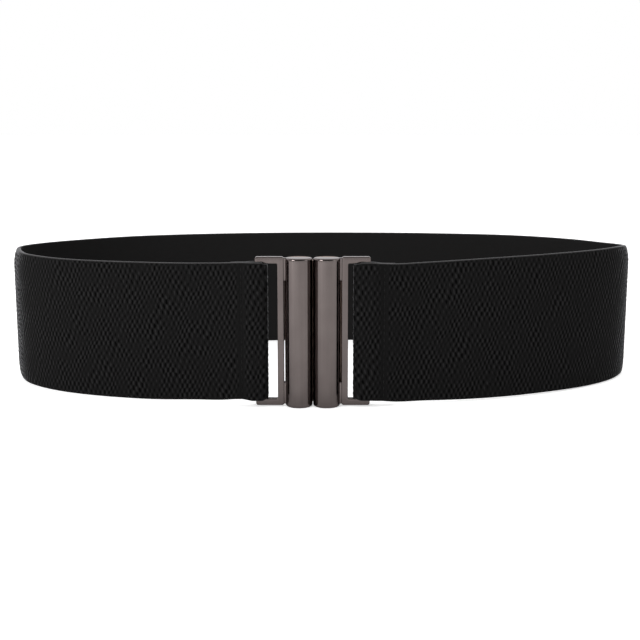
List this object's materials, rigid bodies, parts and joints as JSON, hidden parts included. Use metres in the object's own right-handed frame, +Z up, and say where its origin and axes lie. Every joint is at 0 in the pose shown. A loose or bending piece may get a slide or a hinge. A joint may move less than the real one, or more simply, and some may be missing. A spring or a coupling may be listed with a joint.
{
  "type": "elastic stretch belt",
  "caption": "Wide elastic waist belt fastened in an oval loop, with an interlocking metal buckle of twin upright rolls, standing on its lower edge.",
  "frame": {"origin": "middle of the belt's outer box in X and Y, on the surface that the belt stands on", "axes": "+X across the front of the loop towards the buckle half with the catch, +Y from the buckle to the back of the loop, +Z up along the buckle's rolls"},
  "size_m": [0.294, 0.1502, 0.0639],
  "materials": {
    "elastic": "black woven elastic with a staggered rib, matt",
    "gunmetal": "polished dark nickel plating, warm grey"
  },
  "bodies": {
    "root": {"elastic_strap": "elastic", "buckle_half_left": "gunmetal", "buckle_half_right": "gunmetal"}
  },
  "joints": []
}
